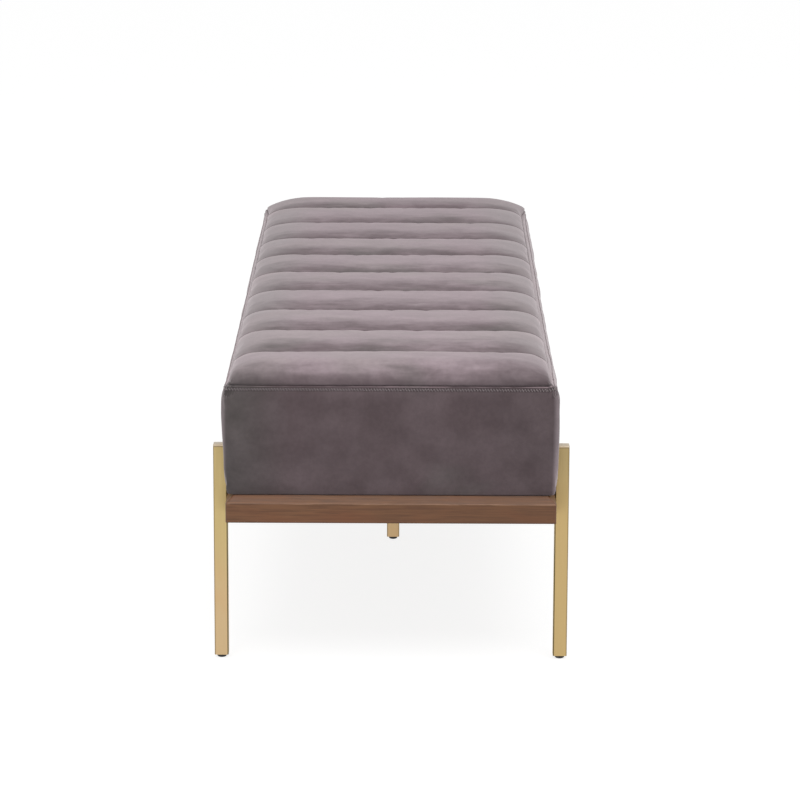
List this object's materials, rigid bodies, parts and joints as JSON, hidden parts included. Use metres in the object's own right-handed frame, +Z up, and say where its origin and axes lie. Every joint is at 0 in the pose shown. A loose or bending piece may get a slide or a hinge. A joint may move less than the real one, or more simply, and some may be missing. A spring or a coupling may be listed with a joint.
{
  "type": "upholstered bench",
  "caption": "Long low bench with a channelled velvet cushion on a bevelled wood rail frame, square brushed-metal legs outside the side rails and a centre leg.",
  "frame": {"origin": "on the floor under the middle of the bench", "axes": "+X along the length towards the end seen nearest in the picture, +Y across the width towards the picture's right, +Z up"},
  "size_m": [1.4612, 0.508, 0.4481],
  "materials": {
    "velvet": "short-pile velvet, grey-mauve, mottled nap",
    "foam": "open-cell foam",
    "lining": "black non-woven cloth",
    "walnut": "satin walnut, lengthwise grain",
    "inner_wood": "planed, unfinished",
    "plywood": "sanded plywood",
    "brass": "brushed, champagne brass",
    "zinc_steel": "zinc plated",
    "black_nylon": "moulded"
  },
  "bodies": {
    "bench": {"bearer_centre": "inner_wood", "bearer_far": "inner_wood", "bearer_mid_far": "inner_wood", "bearer_mid_near": "inner_wood", "bearer_near": "inner_wood", "bearer_screws": "zinc_steel", "centre_plate_screws": "zinc_steel", "channel_panel": "velvet", "corner_block_far_left": "inner_wood", "corner_block_far_right": "inner_wood", "corner_block_near_left": "inner_wood", "corner_block_near_right": "inner_wood", "corner_block_screws": "zinc_steel", "dust_cover": "lining", "foam_core": "foam", "ledger_left": "inner_wood", "ledger_right": "inner_wood", "ledger_screws": "zinc_steel", "leg_bolts": "zinc_steel", "leg_cap_far_left": "brass", "leg_cap_far_right": "brass", "leg_cap_near_left": "brass", "leg_cap_near_right": "brass", "leg_centre": "brass", "leg_centre_plate": "brass", "leg_far_left": "brass", "leg_far_right": "brass", "leg_insert_centre": "black_nylon", "leg_insert_far_left": "black_nylon", "leg_insert_far_right": "black_nylon", "leg_insert_near_left": "black_nylon", "leg_insert_near_right": "black_nylon", "leg_near_left": "brass", "leg_near_right": "brass", "leg_washers": "zinc_steel", "leg_weld_nuts": "zinc_steel", "rail_end_far": "walnut", "rail_end_near": "walnut", "rail_side_left": "walnut", "rail_side_right": "walnut", "seat_board": "plywood", "seat_screws": "zinc_steel", "side_band": "velvet", "staples": "zinc_steel"},
    "glide_near_left": {"glide_pad_near_left": "black_nylon", "glide_stem_near_left": "zinc_steel"},
    "glide_near_right": {"glide_pad_near_right": "black_nylon", "glide_stem_near_right": "zinc_steel"},
    "glide_far_left": {"glide_pad_far_left": "black_nylon", "glide_stem_far_left": "zinc_steel"},
    "glide_far_right": {"glide_pad_far_right": "black_nylon", "glide_stem_far_right": "zinc_steel"},
    "glide_centre": {"glide_pad_centre": "black_nylon", "glide_stem_centre": "zinc_steel"}
  },
  "joints": [
    {"name": "glide_near_left_screw_out", "type": "slide", "parent": "bench", "child": "glide_near_left", "axis": [0, 0, -1], "range_m": [0, 0.01]},
    {"name": "glide_near_right_screw_out", "type": "slide", "parent": "bench", "child": "glide_near_right", "axis": [0, 0, -1], "range_m": [0, 0.01]},
    {"name": "glide_far_left_screw_out", "type": "slide", "parent": "bench", "child": "glide_far_left", "axis": [0, 0, -1], "range_m": [0, 0.01]},
    {"name": "glide_far_right_screw_out", "type": "slide", "parent": "bench", "child": "glide_far_right", "axis": [0, 0, -1], "range_m": [0, 0.01]},
    {"name": "glide_centre_screw_out", "type": "slide", "parent": "bench", "child": "glide_centre", "axis": [0, 0, -1], "range_m": [0, 0.01]}
  ]
}
